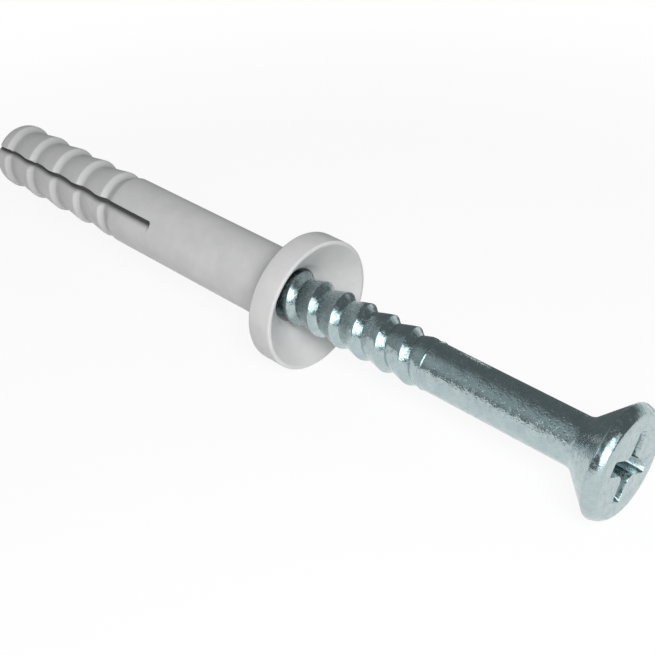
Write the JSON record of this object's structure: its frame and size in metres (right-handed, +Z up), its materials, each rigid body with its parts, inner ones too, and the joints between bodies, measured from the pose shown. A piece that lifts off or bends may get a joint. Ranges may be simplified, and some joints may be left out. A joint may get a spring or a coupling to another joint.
{
  "type": "hammer fixing plug",
  "caption": "Grey nylon plug with a collar, ribs and a slit tip, with a zinc-plated countersunk drive nail standing part way in its bore.",
  "frame": {"origin": "on the plug's axis, at the collar's back face, where the wall's surface meets the plug", "axes": "+X along the axis from the tip towards the nail's head, +Z up; the plug lies with its axis level"},
  "size_m": [0.0683, 0.011, 0.011],
  "materials": {
    "nylon": "matte",
    "zinc_steel": "bright zinc plate"
  },
  "bodies": {
    "sleeve": {"sleeve": "nylon"},
    "nail": {"nail": "zinc_steel"}
  },
  "joints": [
    {"name": "nail_drive", "type": "slide", "parent": "sleeve", "child": "nail", "axis": [-1, 0, 0], "range_m": [0, 0.02756]}
  ]
}
